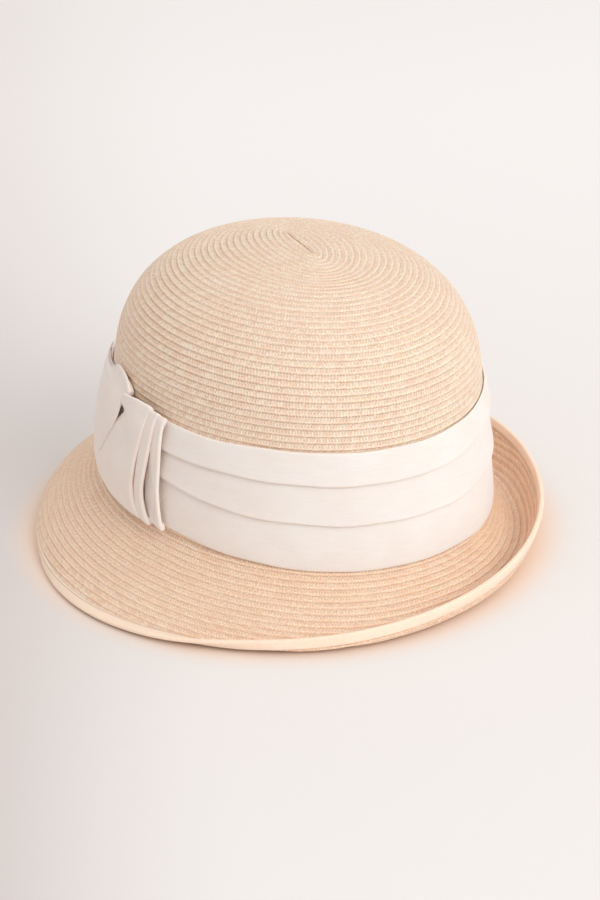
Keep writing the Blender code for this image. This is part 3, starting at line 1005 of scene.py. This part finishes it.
def fold_columns(near, far, lifts, radius, under, count):
    """Angles and stand-offs across one fold of the bow, from under its near edge round to its far edge.

    near and far are degrees, and radius, under and lifts are millimetres. lifts are stand-offs at even steps
    from the near edge to the far edge.
    """
    near, far = np.radians(near), np.radians(far)
    lifts = [lift * MM for lift in lifts]
    radius, under = radius * MM, under * MM
    head = (HEAD_HALF_LENGTH + HEAD_HALF_BREADTH) / 2
    angles, offs = [], []
    for share in np.linspace(1, 0, 5)[:-1]:
        angles.append(near - (radius + under * share) / head)
        offs.append(lifts[0] - 2 * radius - 0.0002 * share)
    for turn in np.linspace(-math.pi / 2, math.pi / 2, 9):
        angles.append(near - radius / head * (1 - math.cos(turn)))
        offs.append(lifts[0] - radius + radius * math.sin(turn))
    start = near - radius / head
    places = np.linspace(0, 1, count)[1:]
    padded = with_ends(np.stack(lifts))
    face = smooth_rows(padded, places * (len(lifts) - 1))
    for share, off in zip(places, face):
        angles.append(start + (far - start) * share)
        offs.append(off)
    return np.stack(angles, axis=1), np.stack(offs, axis=1)


def tuck_under(level, offs, heights):
    """The level of each point of a fold, with the cloth behind its near edge kept lower at the top."""
    top = np.clip((heights - heights.max()) / TUCK_REACH + 1, 0, 1)[:, None]
    depth = np.maximum(offs[:, TURNED_COLUMNS, None] - offs[:, :TURNED_COLUMNS], 0)
    level = np.array(level)
    level[:, :TURNED_COLUMNS] -= depth * top * TUCK_SLOPE
    return level


def turned_ends(low, high, count, radius=0.5, under=3.0):
    """Heights up a fold and how far each sinks in, in millimetres: the cloth is turned under at both ends."""
    turns = np.linspace(-math.pi / 2, math.pi / 2, 7)
    ends = [(low + under, 2 * radius), (low + under / 2, 2 * radius)]
    ends += [(low + radius * (1 - math.cos(turn)), radius - radius * math.sin(turn)) for turn in turns]
    body = [(low + radius + (high - low - 2 * radius) * share, 0.0) for share in np.linspace(0, 1, count)]
    close = [(low + high - height, sink) for height, sink in ends[::-1]]
    return np.array(ends + body[1:-1] + close)


def make_fold(name, node, table, material, place, radius, under, seed):
    """One upright fold of the bow, from a table of its heights, edges and stand-offs."""
    rng = np.random.default_rng(seed)
    rows = turned_ends(table[0][0], table[-1][0], FOLD_ROWS)
    heights, sinks = rows[:, 0], rows[:, 1]
    near, far, *lifts = smooth_table(table, heights)
    angles, offs = fold_columns(near, far, lifts, radius, under, FOLD_COLUMNS)
    level = np.broadcast_to(heights[:, None] * MM, angles.shape)
    waves = soft_waves(rng, angles * HEAD_HALF_BREADTH, level, FOLD_WAVES) * MM
    offs = np.maximum(offs - sinks[:, None] * MM + waves, FOLD_FLOOR)
    points = crown_face(angles, tuck_under(level, offs, heights), offs)
    mesh = cloth_mesh(name, [points[:, ::-1]], place)
    fold = make_piece(name, mesh, material, "band_cloth", node)
    thicken(fold, BOW_CLOTH)
    return fold


def steady(rows, heights):
    """Every column of a table but its first, by straight steps between its rows' heights."""
    rows = np.asarray(rows, float)
    return [np.interp(heights, rows[:, 0], column) for column in rows[:, 1:].T]


def scale_tops(heights, angles, high, tops):
    """Heights up a cloth whose top edge follows the line of tops, in degrees and millimetres."""
    wanted = smooth_table(tops, np.degrees(angles))[0]
    share = np.clip((heights - TOP_START) / (high - TOP_START), 0, 1)[:, None] ** 2
    return heights[:, None] + (wanted - high) * share


def wrap_grid(rows, near, far, lifts, radius, under, high, tops):
    """One side of the bow's wrap as a grid of points. rows are heights and how far each sinks in."""
    heights, sinks = rows[:, 0], rows[:, 1]
    angles, offs = fold_columns(near, far, lifts, radius, under, WRAP_COLUMNS)
    level = scale_tops(heights, angles, high, tops)
    offs = offs / MM - sinks[:, None] + wrap_waves(angles, level)
    offs = np.maximum(offs, np.interp(level, *zip(*WRAP_FLOOR)))
    return crown_face(angles, tuck_under(level, offs, heights) * MM, offs * MM)


def wrap_waves(angles, level):
    """Soft unevenness of the bow's wrap in millimetres, the same at a place whichever side asks."""
    rng = np.random.default_rng(31)
    return soft_waves(rng, angles * HEAD_HALF_BREADTH, level * MM, WRAP_WAVES)


def make_wrap(material, place):
    """The bow's panel and far side: one cloth with a slit between them that opens towards the top.

    Below the slit's end the two sides share their edge. Above it the far side's edge is folded under and
    stands proud, and the panel's edge dips beneath it.
    """
    step = np.arange(WRAP_LOW + 0.5, WRAP_HIGH, WRAP_STEP)
    panel_rows = turned_ends(WRAP_LOW, PANEL_HIGH, 2)
    far_rows = turned_ends(WRAP_LOW, WRAP_HIGH, 2)
    half = len(panel_rows) // 2
    grids = []
    for ends, high in ((panel_rows, PANEL_HIGH), (far_rows, WRAP_HIGH)):
        body = [(height, 0.0) for height in step[1:] if height < high - 1.0]
        rows = np.array([*ends[:half], *body, *ends[half:]])
        heights = rows[:, 0]
        slit, slit_off = smooth_table(SLIT, heights)
        if high == PANEL_HIGH:
            near, *lifts = smooth_table(PANEL, heights)
            turn, sink = steady(PANEL_DIP, heights)
            radius, under = (np.full(len(heights), size) for size in PANEL_TURN)
            lifts = [*lifts, slit_off + sink]
            grids.append(wrap_grid(rows, near, slit + turn, lifts, radius, under, high, PANEL_TOP))
        else:
            far, *lifts = smooth_table(FAR_SIDE, heights)
            open_share = np.clip((heights - SLIT_END) / SLIT_FADE, 0, 1)
            radius, under = (size * open_share for size in FAR_TURN)
            grids.append(wrap_grid(rows, slit, far, [slit_off, *lifts], radius, under, high, FAR_TOP))
    mesh = cloth_mesh("bow_wrap", [grid[:, ::-1] for grid in grids], place)
    weld(mesh, 3e-6)
    wrap = make_piece("bow_wrap", mesh, material, "band_cloth", "bow_panel", "bow_far_fold")
    thicken(wrap, BOW_CLOTH)
    return wrap


def make_floor():
    n = Nodes("floor_painted_shade")
    split = n.add("ShaderNodeSeparateXYZ", {0: n.position()})
    behind = n.along_way(CAMERA_AWAY)
    distance = n.math("MAXIMUM", n.math("ADD", behind, CAMERA_DISTANCE), LEAST_DISTANCE)
    side = n.math("DIVIDE", n.along_way(CAMERA_RIGHT), distance)
    away = n.ramp(behind, *FLOOR_DEPTHS)
    # Painted shade: the floor darker to the camera's left and near the hat, lighter to the right and far off.
    paint = n.mix(n.ramp(side, *FLOOR_SIDES), n.mix(away, *FLOOR_SHADED_LEFT), n.mix(away, *FLOOR_LIT_RIGHT))
    # Painted warm shade and light from the straw, in an oval round the hat's edge.
    oval = [n.math("POWER", n.math("DIVIDE", split.outputs[axis], WARM_OVAL[axis]), 2.0) for axis in (0, 1)]
    near = n.ramp(n.math("SQRT", n.math("ADD", *oval)), *WARM_SHARES, WARM_PAINTED_STRENGTH, 0.0)
    n.put(n.shader.inputs["Base Color"], n.mix(near, paint, WARM_PAINTED_COLOUR))
    n.shader.inputs["Roughness"].default_value = 0.9
    n.shader.inputs["Specular IOR Level"].default_value = 0.1
    mesh = bpy.data.meshes.new("floor")
    shape = bmesh.new()
    bmesh.ops.create_circle(shape, cap_ends=True, segments=96, radius=12.0)
    shape.to_mesh(mesh)
    shape.free()
    mesh.materials.append(n.material)
    floor = bpy.data.objects.new("floor", mesh)
    bpy.context.scene.collection.objects.link(floor)


def make_camera():
    """The photograph's camera: 1 m from the hat's middle, at its back left."""
    azimuth, elevation, roll = (math.radians(value) for value in CAMERA_TURNS)
    reach = math.cos(elevation)
    back = Vector((math.sin(azimuth) * reach, -math.cos(azimuth) * reach, math.sin(elevation)))
    level = Vector((0, 0, 1)).cross(back).normalized()
    upright = back.cross(level)
    right = level * math.cos(roll) + upright * math.sin(roll)
    up = upright * math.cos(roll) - level * math.sin(roll)
    data = bpy.data.cameras.new("camera")
    data.lens = CAMERA_LENS
    data.shift_x, data.shift_y = CAMERA_SHIFT
    camera = bpy.data.objects.new("camera", data)
    bpy.context.scene.collection.objects.link(camera)
    axes = Matrix((right, up, back)).transposed().to_4x4()
    camera.matrix_world = Matrix.Translation(Vector(CAMERA_AIM) + back) @ axes
    bpy.context.scene.camera = camera


def make_light():
    world = bpy.data.worlds.new("studio")
    world.use_nodes = True
    background = world.node_tree.nodes["Background"]
    background.inputs["Color"].default_value = SKY_COLOUR
    background.inputs["Strength"].default_value = SKY_STRENGTH
    bpy.context.scene.world = world
    for name, place, power in LIGHTS:
        data = bpy.data.lights.new(name, "AREA")
        data.shape = "DISK"
        data.size = LIGHT_SIZE
        data.energy = power
        light = bpy.data.objects.new(name, data)
        bpy.context.scene.collection.objects.link(light)
        light.location = place
        light.rotation_mode = "QUATERNION"
        light.rotation_quaternion = (Vector(LIGHT_AIM) - Vector(place)).to_track_quat("-Z", "Y")
    bpy.context.scene.view_settings.view_transform = "Standard"


make_camera()
make_light()
make_floor()
PLACE = hat_place()
straw = straw_material("straw_braid", (1.0, 0.810, 0.665), (0.95, 0.695, 0.535))
# The brim's straw has darker, oranger colours than the crown's: painted shade. Its last colour is the painted
# warm shade and bounced light on its first rows.
brim_straw = straw_material("brim_braid_painted_shade", (0.98, 0.755, 0.590), (0.92, 0.635, 0.465), (0.93, 0.56, 0.33))
hem_straw = hem_material("hem_straw", (0.96, 0.79, 0.65), (0.92, 0.72, 0.58))
cloth = cloth_material("band_cloth", (0.965, 0.860, 0.795), (0.930, 0.800, 0.725))
make_crown(straw, PLACE)
make_brim(brim_straw, PLACE)
make_hem(hem_straw, PLACE)
make_sash(cloth, PLACE)
make_fold("fold_inner", "bow_fold_inner", INNER_FOLD, cloth, PLACE, radius=0.7, under=5.0, seed=21)
make_fold("fold_outer", "bow_fold_outer", OUTER_FOLD, cloth, PLACE, radius=0.8, under=5.0, seed=22)
make_wrap(cloth, PLACE)
